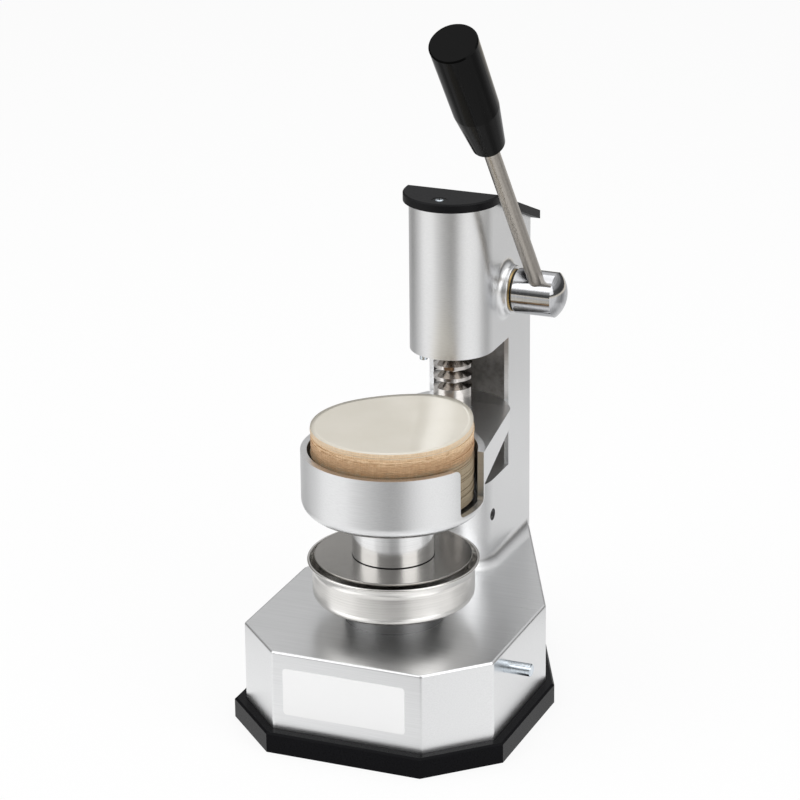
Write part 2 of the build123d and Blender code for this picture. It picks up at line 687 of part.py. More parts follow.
def bracket_screw_x():
    place = ROCKER_HALF + 7.5
    return (-place, place)


def bracket_rivets():
    group = []
    for x in bracket_screw_x():
        rivet = cyl(RIVET_R, 0.8, TRAY_FLOOR + 2, x, PIVOT_Y + RIVET_Y)
        rivet += cyl(3.0, TRAY_FLOOR + 2, TRAY_FLOOR + 3.2, x, PIVOT_Y + RIVET_Y)
        group.append(rivet)
    return Compound(children=group)


def rocker_pin():
    reach = ROCKER_HALF + 4.6
    pin = xcyl(PIVOT_R, -reach, reach, PIVOT_Y, PIVOT_Z)
    return pin + xcyl(PIVOT_R + 1.5, reach - 1.4, reach, PIVOT_Y, PIVOT_Z)


def tangent_points():
    """Where the arm's straight sides leave the cup and meet the rear round."""
    lean = math.asin((CUP_R - ARM_REAR_R) / RAM_Y)
    cup = (CUP_R * math.cos(lean), CUP_R * math.sin(lean))
    rear = (ARM_REAR_R * math.cos(lean), RAM_Y + ARM_REAR_R * math.sin(lean))
    return cup, rear


def slot_cutter():
    """Finger slot: straight sides, round bottom corners, lips rolled back at the rim."""
    y0, y1 = SLOT_Y
    top = CUP_Z[1]
    r = 3.0
    lip = 4.0
    bend = 1 - math.sqrt(0.5)
    low = SLOT_BOTTOM_Z
    outline = [
        Line((0, y0 - lip, top + 2), (0, y0 - lip, top)),
        ThreePointArc((0, y0 - lip, top), (0, y0 - lip * bend, top - lip * bend), (0, y0, top - lip)),
        Line((0, y0, top - lip), (0, y0, low + r)),
        ThreePointArc((0, y0, low + r), (0, y0 + r * bend, low + r * bend), (0, y0 + r, low)),
        Line((0, y0 + r, low), (0, y1 - r, low)),
        ThreePointArc((0, y1 - r, low), (0, y1 - r * bend, low + r * bend), (0, y1, low + r)),
        Line((0, y1, low + r), (0, y1, top + 2)),
        Line((0, y1, top + 2), (0, y0 - lip, top + 2)),
    ]
    face = make_face(Wire(outline))
    return Pos(CUP_R - 20, 0, 0) * extrude(face, 40, dir=(1, 0, 0))


def press_arm():
    low, high = CUP_Z
    inner = CUP_R - CUP_WALL
    floor = low + CUP_FLOOR
    bend = CUP_CORNER_R * (1 - math.sqrt(0.5))
    outline = [
        Line((0, 0, low), (CUP_R - CUP_CORNER_R, 0, low)),
        ThreePointArc(
            (CUP_R - CUP_CORNER_R, 0, low),
            (CUP_R - bend, 0, low + bend),
            (CUP_R, 0, low + CUP_CORNER_R),
        ),
        Line((CUP_R, 0, low + CUP_CORNER_R), (CUP_R, 0, high)),
        Line((CUP_R, 0, high), (0, 0, high)),
        Line((0, 0, high), (0, 0, low)),
    ]
    cup = revolve(make_face(Wire(outline)), Axis.Z)

    front, rear = tangent_points()
    web = make_face(Polyline(front, rear, (-rear[0], rear[1]), (-front[0], front[1]), close=True))
    plan = web + Pos(0, RAM_Y) * Circle(ARM_REAR_R)
    arm = prism(plan, ARM_BOTTOM_Z, high)
    crest_y = PAD_Y - (high - PAD_Z) / ARM_RISE
    above = Polyline(
        (0, 300, PAD_Z),
        (0, PAD_Y, PAD_Z),
        (0, crest_y, high),
        (0, crest_y, high + 20),
        (0, 300, high + 20),
        close=True,
    )
    arm -= Pos(-100, 0, 0) * extrude(make_face(above), 200, dir=(1, 0, 0))
    arm += cyl(RAM_R, PAD_Z - 1, RAM_SEAT_Z, 0, RAM_Y)

    body = cup + arm
    body -= cyl(inner, floor, high + 5)
    body -= slot_cutter()
    body -= cyl(ROD_R, ARM_BOTTOM_Z - 1, high, 0, RAM_Y)
    body -= cyl(BOLT_R, low - 1, floor + 1)
    hole_z = (ARM_BOTTOM_Z + PAD_Z) / 2
    body -= Pos(0, RAM_Y, hole_z) * Rot(-90, 0, 0) * cyl(CLAMP_SCREW_R, 0, ARM_REAR_R + 2)
    return body


def arm_clamp_screw():
    hole_z = (ARM_BOTTOM_Z + PAD_Z) / 2
    screw = cyl(CLAMP_SCREW_R, ROD_R, ARM_REAR_R - 2)
    recess = Pos(0, 0, ARM_REAR_R - 5) * extrude(RegularPolygon(1.7, 6), 4)
    return Pos(0, RAM_Y, hole_z) * Rot(-90, 0, 0) * (screw - recess)


def press_stub():
    stub = cyl(STUB_R, DISC_Z[1], CUP_Z[0])
    return stub - cyl(BOLT_R, DISC_Z[1] - 1, CUP_Z[0] + 1)


def press_disc():
    disc = cyl(DISC_R, DISC_Z[0], DISC_Z[1])
    disc = fillet(disc.edges().filter_by(GeomType.CIRCLE), 0.5)
    return disc - cyl(BOLT_R, DISC_Z[0] - 1, DISC_Z[1] + 1)


def disc_bolt():
    """Rivet-flat bolt from the disc up through the stub, with its nut in the cup."""
    return cyl(BOLT_R, DISC_Z[0] + 0.1, CUP_Z[0] + CUP_FLOOR + 1)


def disc_nut():
    low = CUP_Z[0] + CUP_FLOOR
    nut = Pos(0, 0, low) * extrude(RegularPolygon(NUT_HALF / math.cos(math.pi / 6), 6), NUT_H)
    return nut - cyl(BOLT_R, low - 1, low + 1)


def paper_discs():
    """Packs of release paper, each a little off centre, round the nut in the cup."""
    low = CUP_Z[0] + CUP_FLOOR + NUT_H + 0.2
    high = CUP_Z[1] + PAPER_ABOVE
    step = (high - low) / PAPER_PACKS
    group = []
    for k in range(PAPER_PACKS):
        shift_x = 0.7 * math.cos(2.4 * k)
        shift_y = 0.7 * math.sin(2.4 * k)
        group.append(cyl(PAPER_R, low + step * k, low + step * (k + 1), shift_x, shift_y))
    return Compound(children=group)


def stop_pin():
    return cyl(2.5, HEAD_Z - 3.5, HEAD_Z + 9, -12.0, RAM_Y - 20)


def export(shape, name):
    export_step(shape, f"parts/{name}.step")


def main():
    os.makedirs("parts", exist_ok=True)
    gear, phase = pinion()
    shapes = {
        "base_tray": base_tray(),
        "tray_screws": tray_screws(),
        "body_casting": body_casting(),
        "top_cap": top_cap(),
        "cap_screws": cap_screws(),
        "head_bush": head_bush(),
        "stop_pin": stop_pin(),
        "pedestal_bush": pedestal_bush(),
        "bush_set_screw": bush_set_screw(),
        "shaft_bush_left": shaft_bush(-CHEEK_HALF - 7.8, -CHEEK_HALF),
        "shaft_bush_right": shaft_bush(CHEEK_HALF, BOSS_X),
        "brass_washer": xring(HUB_R - 0.9, SHAFT_R + 0.1, BOSS_X, BOSS_X + 0.7, SHAFT_Y, SHAFT_Z),
        "friction_ring": xring(HUB_R - 1.3, SHAFT_R, BOSS_X + 0.75, HUB_X[0], SHAFT_Y, SHAFT_Z),
        "pinion_shaft": pinion_shaft(phase),
        "pinion": gear,
        "pinion_pin": pin_across(phase),
        "shaft_ring": xring(SHAFT_R + 2.2, SHAFT_R, CHEEK_HALF - 1.4, CHEEK_HALF - 0.2, SHAFT_Y, SHAFT_Z),
        "lever_hub": lever_hub(),
        "hub_set_screw": hub_set_screw(),
        "lever_rod": lever_rod(),
        "lever_grip": lever_grip(),
        "ram": ram(),
        "cross_pin": cross_pin(),
        "press_arm": press_arm(),
        "arm_clamp_screw": arm_clamp_screw(),
        "press_stub": press_stub(),
        "press_disc": press_disc(),
        "disc_bolt": disc_bolt(),
        "disc_nut": disc_nut(),
        "paper_discs": paper_discs(),
        "bowl": bowl(),
        "bowl_foot": bowl_foot(),
        "ejector_plate": ejector_plate(),
        "plate_screw": plate_screw(),
        "ejector_rod": ejector_rod(),
        "rocker": rocker(),
        "rocker_pin": rocker_pin(),
        "rocker_bracket": rocker_bracket(),
        "bracket_rivets": bracket_rivets(),
        "lock_pin": lock_pin(),
        "lock_clip": lock_clip(),
    }
    for name, shape in shapes.items():
        export(shape, name)


main()
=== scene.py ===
import json
import math
import random

import bmesh
import bpy
from mathutils import Matrix, Vector


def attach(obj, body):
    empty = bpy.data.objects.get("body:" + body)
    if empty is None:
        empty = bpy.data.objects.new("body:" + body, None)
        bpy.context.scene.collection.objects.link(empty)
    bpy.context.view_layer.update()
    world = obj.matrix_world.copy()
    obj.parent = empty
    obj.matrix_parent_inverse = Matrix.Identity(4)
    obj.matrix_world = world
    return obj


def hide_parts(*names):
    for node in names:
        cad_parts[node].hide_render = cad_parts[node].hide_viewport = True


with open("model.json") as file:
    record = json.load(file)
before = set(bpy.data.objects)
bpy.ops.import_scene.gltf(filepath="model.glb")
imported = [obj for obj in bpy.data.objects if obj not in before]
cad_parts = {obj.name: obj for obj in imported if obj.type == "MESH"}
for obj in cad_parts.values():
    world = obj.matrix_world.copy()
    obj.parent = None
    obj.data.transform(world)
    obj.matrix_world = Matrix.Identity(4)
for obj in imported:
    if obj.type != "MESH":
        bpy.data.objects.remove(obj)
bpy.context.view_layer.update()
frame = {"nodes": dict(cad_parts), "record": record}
random.seed(7)

# Camera, solved from the photograph: angles in radians, lengths in metres
CAMERA_YAW = 0.392589
CAMERA_PITCH = 0.360486
CAMERA_ROLL = -0.0095865
CAMERA_DISTANCE = 2.166689
CAMERA_LENS = 158.712
CAMERA_SENSOR = 36.0
AIM_SIDE = 0.004992
AIM_Z = 0.210
CAMERA_CLIP = (0.05, 50.0)

# Body casting: its front face, the channel behind the press arm and the hollow under the deck
BASE_FRONT_Y = -0.0779
CHANNEL_HALF = 0.0247
CHANNEL_FRONT_Y = 0.1306
CHANNEL_BACK_Y = 0.1668
CHANNEL_LOW = 0.1235
CHANNEL_HIGH = 0.2112
DECK_UNDER_Z = 0.0630
FACES_DOWN = -0.5
# Face indices: the rough one is as-cast, and its dark colour is painted shade
SMOOTH_FACE, ROUGH_SHADED_FACE = range(2)

# Front label: width and height, and its centre in X and Z
LABEL_SIZE = (0.081, 0.031)
LABEL_CENTRE = (-0.0017, 0.0400)
LABEL_CORNER = 0.0022
LABEL_THICKNESS = 0.0004
LABEL_CORNER_STEPS = 6

# Cap screws: one on the level front of the cap, one on its sloping rear
CAP_THICKNESS = 0.0055
CAP_TOP_Z = 0.3095
CAP_SLOPE = math.radians(23.2)
CAP_FOLD_Y = 0.103
CAP_SCREW_Y = (0.08025, 0.1640)
CAP_SCREW_R = 0.0027
CAP_SEAT_R = 0.0049
CAP_SEAT_DEPTH = 0.0012
CAP_WASHER_SINK = 0.0001
CAP_SCREW_DOME = ((1.0, -0.0003), (1.0, 0.0001), (0.85, 0.0004), (0.5, 0.00055))
# Cross in each head: black bars just above the dome, painted shade of the cross recess
CAP_SLOT_SIZE = (1.3, 0.28)
CAP_SLOT_HEIGHT = 0.0004
CAP_SLOT_TURN = 0.4
TURNED_SPOKES = 40
CAP_SCREW_MATERIALS = ("cap_black", "zinc_plate", "black_oxide")
WASHER_FACE, HEAD_FACE, CROSS_SHADE_FACE = range(3)

# Painted shadow: a thin black ring for the shaded chamfer under the press stub
SHADOW_RING_R = 0.02605
SHADOW_RING_Z = 0.1082
SHADOW_RING_HEIGHT = 0.0005

# Paper stack: small packs with thinner ones on top; the upper ones curl up at one side
PAPER_R = 0.0504
PAPER_R_SPREAD = (-0.0004, 0.0002)
PAPER_SHIFT = 0.00035
PAPER_LAYERS = 40
PAPER_LAYER_FILL = 0.93
PAPER_BODY = (0.1484, 0.1900)
PAPER_TOP_SHEETS = 5
PAPER_TOP_SHIFT = 0.0004
PAPER_TOP_STEP = 0.00075
PAPER_TOP_SHEET = (0.0001, 0.0007)
PAPER_CURL = 0.0056
PAPER_CURL_TURN = 0.828921
PAPER_CURL_START = -0.1
PAPER_CURL_POWER = 2.4
PAPER_CURL_SCALE = 1.26
PAPER_BODY_CURL = 0.55
PAPER_BODY_CURL_FROM = 0.55
PAPER_TOP_CURL = 0.6
SHEET_SPOKES = 96
SHEET_RINGS = 14
BODY_SHEET_RINGS = 6
FLAT_FACE, CUT_FACE = range(2)

# Colour of the cut paper edges by height in metres: darker low down in the cup, which is painted shade,
# light tan on top
PAPER_EDGE_SHADE_BANDS = (
    (0.150, (0.30, 0.25, 0.17)),
    (0.176, (0.38, 0.31, 0.21)),
    (0.181, (0.46, 0.27, 0.13)),
    (0.1835, (0.62, 0.42, 0.25)),
    (0.1855, (0.50, 0.29, 0.14)),
    (0.1885, (0.80, 0.58, 0.36)),
    (0.195, (0.90, 0.71, 0.50)),
)
PAPER_BAND_WAVER = 0.09
PAPER_LEVEL_GRAIN = (200.0, 200.0, 3200.0)
PAPER_LEVEL_DETAIL = 5.0
PAPER_UPRIGHT_GRAIN = (1900.0, 1900.0, 130.0)
PAPER_UPRIGHT_DETAIL = 3.0
PAPER_UPRIGHT_RELIEF = 0.25
PAPER_MARK_SHARE = 0.7
PAPER_MARK_DARK = (0.68, 0.62, 0.56)

# Sockets of a colour mix
MIX_FIRST = 6
MIX_SECOND = 7
MIX_RESULT = 2

# Noise runs mostly between these two values
NOISE_LOW = 0.3
NOISE_HIGH = 0.7

# Surface marks: depth in metres, grain per metre, fineness, and what they add to the roughness
MARK_DEPTH = 0.0002
METAL_DETAIL = 4.0
SPUN_LINES = 0.06
CLOUD_GRAIN = (14.0, 14.0, 14.0)
CLOUD_DETAIL = 2.0
CLOUD_ROUGHNESS = (-0.02, 0.03)
PLASTIC_GRAIN = (900.0, 900.0, 900.0)
PLASTIC_DETAIL = 2.0
PLASTIC_ROUGHNESS = (-0.03, 0.04)
PAPER_MARK_DEPTH = 0.0003
FIBRE_DETAIL = 5.0
FIBRE_RELIEF = 0.15
WAX_ROUGHNESS = 0.075

# Studio that the metal reflects, by direction: share of a full turn, 0.5 towards -Y, then grey
STUDIO_ROUND = (
    (0.00, 0.70),
    (0.06, 0.75),
    (0.13, 0.50),
    (0.19, 0.24),
    (0.26, 0.55),
    (0.32, 1.00),
    (0.40, 1.00),
    (0.45, 0.66),
    (0.50, 0.42),
    (0.555, 0.20),
    (0.585, 0.24),
    (0.635, 0.80),
    (0.68, 1.00),
    (0.775, 0.92),
    (0.815, 0.50),
    (0.86, 0.34),
    (0.93, 0.68),
    (1.00, 0.70),
)

# The same studio by height: sine of the elevation, then grey
STUDIO_HEIGHT = (
    (0.00, 0.10),
    (0.16, 0.12),
    (0.26, 0.42),
    (0.385, 0.50),
    (0.415, 1.00),
    (0.435, 0.60),
    (0.455, 0.62),
    (0.475, 1.00),
    (0.52, 0.80),
    (0.66, 0.94),
    (0.82, 0.66),
    (1.00, 0.50),
)
STUDIO_TURN_SHARE = 0.6
FILL_STRENGTH = 0.56

# Floor in reflections: reach from the origin in metres, then how much studio it mixes with the pale
FLOOR_PALE = (0.98, 0.98, 0.98)
FLOOR_SHARE = (
    (0.20, 0.12),
    (0.26, 0.82),
    (0.36, 0.80),
    (0.42, 0.58),
    (0.54, 0.58),
    (0.64, 1.00),
)
FLOOR_SIZE = 12.0
FLOOR_WHITE = (0.88, 0.88, 0.88)
FLOOR_GLOW = 0.88
FLOOR_WARM = (0.95, 0.88, 0.76)
FLOOR_WARM_REACH = (1.6, 2.2)
FLOOR_DARK = (0.12, 0.12, 0.12)
FLOOR_DARK_REACH = (3.4, 4.2)

# Soft lamps: name, place, width and height in metres, watts
LAMP_AIM = (0, 0.03, 0.2)
LAMPS = (
    ("lamp_left", (-1.6, -1.3, 1.5), (2.4, 2.4), 22),
    ("lamp_right", (1.9, -0.7, 1.3), (1.8, 2.2), 17),
    ("lamp_top", (0.1, 0.3, 2.0), (2.2, 1.8), 15),
)


def new_material(name, color, roughness, metallic=0.0):
    made = bpy.data.materials.new(name)
    made.use_nodes = True
    tree = made.node_tree
    shader = tree.nodes["Principled BSDF"]
    shader.inputs["Base Color"].default_value = (*color, 1.0)
    shader.inputs["Roughness"].default_value = roughness
    shader.inputs["Metallic"].default_value = metallic
    return made, tree, shader


def node(tree, kind, **values):
    made = tree.nodes.new(kind)
    for key, value in values.items():
        setattr(made, key, value)
    return made


def scaled_coords(tree, scale):
    coords = node(tree, "ShaderNodeTexCoord")
    mapping = node(tree, "ShaderNodeMapping")
    mapping.inputs["Scale"].default_value = scale
    tree.links.new(coords.outputs["Object"], mapping.inputs["Vector"])
    return mapping.outputs["Vector"]


def noise(tree, scale, detail):
    """Noise in the object's own space, stretched by the scale along each axis."""
    made = node(tree, "ShaderNodeTexNoise")
    made.inputs["Scale"].default_value = 1.0
    made.inputs["Detail"].default_value = detail
    tree.links.new(scaled_coords(tree, scale), made.inputs["Vector"])
    return made.outputs["Fac"]


def radial_noise(tree, centre, grain, detail):
    """Noise that depends on the distance from a vertical axis alone."""
    coords = node(tree, "ShaderNodeTexCoord")
    shift = node(tree, "ShaderNodeVectorMath", operation="SUBTRACT")
    shift.inputs[1].default_value = (centre[0], centre[1], 0.0)
    flat = node(tree, "ShaderNodeVectorMath", operation="MULTIPLY")
    flat.inputs[1].default_value = (1.0, 1.0, 0.0)
    length = node(tree, "ShaderNodeVectorMath", operation="LENGTH")
    made = node(tree, "ShaderNodeTexNoise", noise_dimensions="1D")
    made.inputs["Scale"].default_value = grain
    made.inputs["Detail"].default_value = detail
    tree.links.new(coords.outputs["Object"], shift.inputs[0])
    tree.links.new(shift.outputs["Vector"], flat.inputs[0])
    tree.links.new(flat.outputs["Vector"], length.inputs[0])
    tree.links.new(length.outputs["Value"], made.inputs["W"])
    return made.outputs["Fac"]


def spread(tree, value, low, high, from_low=NOISE_LOW, from_high=NOISE_HIGH):
    """Maps from_low..from_high to low..high."""
    made = node(tree, "ShaderNodeMapRange")
    made.inputs["From Min"].default_value = from_low
    made.inputs["From Max"].default_value = from_high
    made.inputs["To Min"].default_value = low
    made.inputs["To Max"].default_value = high
    tree.links.new(value, made.inputs["Value"])
    return made.outputs["Result"]


def color_ramp(tree, value, stops, mode="LINEAR"):
    """Colour that follows the stops, which are (value from 0 to 1, colour)."""
    made = node(tree, "ShaderNodeValToRGB")
    made.color_ramp.interpolation = mode
    elements = made.color_ramp.elements
    for k, (place, color) in enumerate(stops):
        stop = elements[k] if k < len(elements) else elements.new(place)
        stop.position = place
        stop.color = (*color, 1.0)
    tree.links.new(value, made.inputs["Fac"])
    return made.outputs["Color"]


def tint(tree, value, dark, light):
    """Colour that goes from dark to light as the value goes over the range of the noise."""
    return color_ramp(tree, value, ((NOISE_LOW, dark), (NOISE_HIGH, light)))


def bump(tree, shader, value, strength, depth):
    made = node(tree, "ShaderNodeBump")
    made.inputs["Strength"].default_value = strength
    made.inputs["Distance"].default_value = depth
    tree.links.new(value, made.inputs["Height"])
    tree.links.new(made.outputs["Normal"], shader.inputs["Normal"])


def brushed_metal(name, dark, light, rough, grain, lines=0.02):
    """Metal with fine lines; grain is the noise scale along each axis, per metre."""
    made, tree, shader = new_material(name, light, rough[0], 1.0)
    fine = noise(tree, grain, METAL_DETAIL)
    cloud = noise(tree, CLOUD_GRAIN, CLOUD_DETAIL)
    smoother, rougher = CLOUD_ROUGHNESS
    tree.links.new(tint(tree, fine, dark, light), shader.inputs["Base Color"])
    mixed = node(tree, "ShaderNodeMath", operation="ADD")
    tree.links.new(spread(tree, fine, 0.0, rough[1] - rough[0]), mixed.inputs[0])
    tree.links.new(spread(tree, cloud, rough[0] + smoother, rough[0] + rougher), mixed.inputs[1])
    tree.links.new(mixed.outputs["Value"], shader.inputs["Roughness"])
    bump(tree, shader, fine, lines, MARK_DEPTH)
    return made


def spun_metal(name, dark, light, rough, centre, grain, anisotropic):
    """Metal faced on a lathe: lines are circles round a vertical axis."""
    made, tree, shader = new_material(name, light, rough[0], 1.0)
    rings = radial_noise(tree, centre, grain, METAL_DETAIL)
    tree.links.new(tint(tree, rings, dark, light), shader.inputs["Base Color"])
    tree.links.new(spread(tree, rings, rough[0], rough[1]), shader.inputs["Roughness"])
    bump(tree, shader, rings, SPUN_LINES, MARK_DEPTH)
    shader.inputs["Anisotropic"].default_value = anisotropic
    tangent = node(tree, "ShaderNodeTangent", direction_type="RADIAL", axis="Z")
    tree.links.new(tangent.outputs["Tangent"], shader.inputs["Tangent"])
    return made


def plastic(name, color, roughness, speck, specular=0.5):
    """Plastic, rubber or a black finish; speck is how strong its fine grain is."""
    made, tree, shader = new_material(name, color, roughness)
    shader.inputs["Specular IOR Level"].default_value = specular
    grain = noise(tree, PLASTIC_GRAIN, PLASTIC_DETAIL)
    smoother, rougher = PLASTIC_ROUGHNESS
    varied = spread(tree, grain, roughness + smoother, roughness + rougher)
    tree.links.new(varied, shader.inputs["Roughness"])
    bump(tree, shader, grain, speck, MARK_DEPTH)
    return made


def waxed_paper(name, dark, light, roughness, grain, coat):
    """The faces of the papers: faint fibres under a wax coat."""
    made, tree, shader = new_material(name, light, roughness)
    fibres = noise(tree, grain, FIBRE_DETAIL)
    tree.links.new(tint(tree, fibres, dark, light), shader.inputs["Base Color"])
    bump(tree, shader, fibres, FIBRE_RELIEF, PAPER_MARK_DEPTH)
    shader.inputs["Coat Weight"].default_value = coat
    shader.inputs["Coat Roughness"].default_value = WAX_ROUGHNESS
    return made


def cut_paper(name, roughness):
    """Edges of a paper stack: bands by height that darken down into the cup as painted shade, broken by
    fine upright and level marks.
    """
    made, tree, shader = new_material(name, PAPER_EDGE_SHADE_BANDS[0][1], roughness)
    split = node(tree, "ShaderNodeSeparateXYZ")
    coords = node(tree, "ShaderNodeTexCoord")
    tree.links.new(coords.outputs["Object"], split.inputs["Vector"])
    low, high = PAPER_EDGE_SHADE_BANDS[0][0], PAPER_EDGE_SHADE_BANDS[-1][0]
    height = spread(tree, split.outputs["Z"], 0.0, 1.0, low, high)
    level = noise(tree, PAPER_LEVEL_GRAIN, PAPER_LEVEL_DETAIL)
    upright = noise(tree, PAPER_UPRIGHT_GRAIN, PAPER_UPRIGHT_DETAIL)
    wave = node(tree, "ShaderNodeMath", operation="ADD")
    tree.links.new(height, wave.inputs[0])
    tree.links.new(spread(tree, level, -PAPER_BAND_WAVER, PAPER_BAND_WAVER), wave.inputs[1])
    bands = [((z - low) / (high - low), color) for z, color in PAPER_EDGE_SHADE_BANDS]
    banded = color_ramp(tree, wave.outputs["Value"], bands)
    marks = node(tree, "ShaderNodeMix", data_type="RGBA", blend_type="MULTIPLY")
    marks.inputs["Factor"].default_value = PAPER_MARK_SHARE
    tree.links.new(banded, marks.inputs[MIX_FIRST])
    tree.links.new(tint(tree, upright, PAPER_MARK_DARK, (1.0, 1.0, 1.0)), marks.inputs[MIX_SECOND])
    tree.links.new(marks.outputs[MIX_RESULT], shader.inputs["Base Color"])
    bump(tree, shader, upright, PAPER_UPRIGHT_RELIEF, PAPER_MARK_DEPTH)
    return made


MATERIALS = {
    "cast_aluminium": brushed_metal(
        "cast_aluminium", (0.79, 0.795, 0.80), (0.86, 0.865, 0.87), (0.29, 0.34), (30.0, 1500.0, 1900.0),
        0.012
    ),
    "tray_black": plastic("tray_black", (0.004, 0.004, 0.005), 0.28, 0.01, specular=0.06),
    "cap_black": plastic("cap_black", (0.005, 0.005, 0.006), 0.42, 0.1, specular=0.14),
    "zinc_plate": brushed_metal(
        "zinc_plate", (0.56, 0.62, 0.68), (0.76, 0.82, 0.87), (0.16, 0.24), (1500.0, 300.0, 300.0)
    ),
    "bronze": brushed_metal(
        "bronze", (0.42, 0.29, 0.12), (0.60, 0.43, 0.20), (0.24, 0.34), (300.0, 300.0, 2500.0)
    ),
    "black_oxide": plastic("black_oxide", (0.006, 0.006, 0.006), 0.4, 0.05, specular=0.15),
    "satin_steel": brushed_metal(
        "satin_steel", (0.73, 0.715, 0.69), (0.83, 0.815, 0.79), (0.20, 0.25), (15.0, 15.0, 2600.0),
        0.012
    ),
    "turned_aluminium": brushed_metal(
        "turned_aluminium", (0.80, 0.80, 0.80), (0.90, 0.90, 0.90), (0.13, 0.18), (15.0, 15.0, 3200.0),
        0.015
    ),
    "ring_rubber": plastic("ring_rubber", (0.012, 0.012, 0.012), 0.55, 0.1),
    "turned_steel": brushed_metal(
        "turned_steel", (0.50, 0.475, 0.45), (0.64, 0.615, 0.59), (0.10, 0.16), (15.0, 15.0, 3000.0),
        0.015
    ),
    "hub_chrome": brushed_metal(
        "hub_chrome", (0.52, 0.525, 0.54), (0.60, 0.605, 0.62), (0.07, 0.12), (2600.0, 15.0, 15.0),
        0.01
    ),
    "rod_steel": brushed_metal(
        "rod_steel", (0.385, 0.355, 0.32), (0.455, 0.425, 0.385), (0.26, 0.33), (1300.0, 500.0, 500.0),
        0.012
    ),
    "grip_black": plastic("grip_black", (0.003, 0.003, 0.003), 0.12, 0.005, specular=0.06),
}
# Dark rough metal for the channel and the underside of the deck: partly the as-cast surface, partly
# painted shade
ROUGH_CAST_AND_SHADE = brushed_metal(
    "rough_cast_and_shade", (0.20, 0.19, 0.18), (0.36, 0.345, 0.33), (0.46, 0.56), (260.0, 260.0, 260.0), 0.1
)
# Painted shade: the bowl foot is dark metal, for the shade under the bowl
FOOT_SHADE_METAL = brushed_metal(
    "foot_shade_metal", (0.16, 0.16, 0.16), (0.22, 0.22, 0.22), (0.34, 0.4), (15.0, 15.0, 2600.0)
)
DISC_STEEL = spun_metal(
    "disc_steel", (0.34, 0.33, 0.31), (0.52, 0.50, 0.475), (0.16, 0.26), (0, 0), 5000.0, 0.75
)
PAPER_SHEET = waxed_paper(
    "paper_sheet", (0.655, 0.615, 0.525), (0.685, 0.645, 0.56), 0.34, (60.0, 60.0, 60.0), 1.0
)
PAPER_EDGE = cut_paper("paper_edge", 0.7)
LABEL_WHITE = plastic("label_white", (0.93, 0.93, 0.93), 0.32, 0.02)


def dress(obj, material):
    obj.data.materials.clear()
    obj.data.materials.append(material)


def dress_frame():
    """Gives each CAD node the material of its slot; the press disc and the ejector plate get a spun
    finish, and the bowl foot a dark metal that is painted shade under the bowl.
    """
    slots = {row["node"]: row["material_slot"] for row in frame["record"]["subparts"]}
    for name, obj in frame["nodes"].items():
        slot = slots[name]
        if slot in MATERIALS:
            dress(obj, MATERIALS[slot])
    for name in ("press_disc", "ejector_plate"):
        dress(frame["nodes"][name], DISC_STEEL)
    dress(frame["nodes"]["bowl_foot"], FOOT_SHADE_METAL)
    paint_inside()


def paint_inside():
    """Faces in the channel behind the arm and in the hollow under the deck: rough as cast, and dark as
    painted shade of the recess and the underside.
    """
    casting = frame["nodes"]["body_casting"]
    casting.data.materials.append(ROUGH_CAST_AND_SHADE)
    for face in casting.data.polygons:
        x, y, z = face.center
        across = abs(x) < CHANNEL_HALF and CHANNEL_FRONT_Y < y < CHANNEL_BACK_Y
        in_channel = across and CHANNEL_LOW <= z <= CHANNEL_HIGH
        under_deck = z < DECK_UNDER_Z and face.normal.z < FACES_DOWN
        face.material_index = ROUGH_SHADED_FACE if in_channel or under_deck else SMOOTH_FACE


def mesh_object(name, bm):
    """Turns the working mesh into an object in the scene."""
    mesh = bpy.data.meshes.new(name)
    bm.normal_update()
    bm.to_mesh(mesh)
    bm.free()
    obj = bpy.data.objects.new(name, mesh)
    bpy.context.scene.collection.objects.link(obj)
    return obj


def add_sheet(bm, radius, low, high, centre, curl, face_index, rings=SHEET_RINGS):
    """A closed round sheet from height low to high, lifted by curl at the side that curls up."""
    spokes = SHEET_SPOKES
    bend = Vector((math.cos(PAPER_CURL_TURN), math.sin(PAPER_CURL_TURN)))

    def lift(x, y):
        along = (x * bend.x + y * bend.y) / PAPER_R
        past_start = max(0.0, along - PAPER_CURL_START)
        return curl * past_start**PAPER_CURL_POWER / PAPER_CURL_SCALE

    def ring(r, z):
        verts = []
        for k in range(spokes):
            a = 2 * math.pi * k / spokes
            x = centre[0] + r * math.cos(a)
            y = centre[1] + r * math.sin(a)
            verts.append(bm.verts.new((x, y, z + lift(x, y))))
        return verts

    def cover(z, upward):
        loops = [ring(radius * k / rings, z) for k in range(1, rings + 1)]
        hub = bm.verts.new((centre[0], centre[1], z + lift(*centre)))
        for k in range(spokes):
            n = (k + 1) % spokes
            face = [hub, loops[0][k], loops[0][n]]
            bm.faces.new(face if upward else face[::-1]).material_index = face_index
            for inner, outer in zip(loops, loops[1:]):
                face = [inner[k], outer[k], outer[n], inner[n]]
                bm.faces.new(face if upward else face[::-1]).material_index = face_index
        return loops[-1]

    top = cover(high, True)
    bottom = cover(low, False)
    for k in range(spokes):
        n = (k + 1) % spokes
        bm.faces.new([bottom[k], bottom[n], top[n], top[k]]).material_index = CUT_FACE


def random_shift(reach):
    return Vector((random.uniform(-1, 1), random.uniform(-1, 1))) * reach


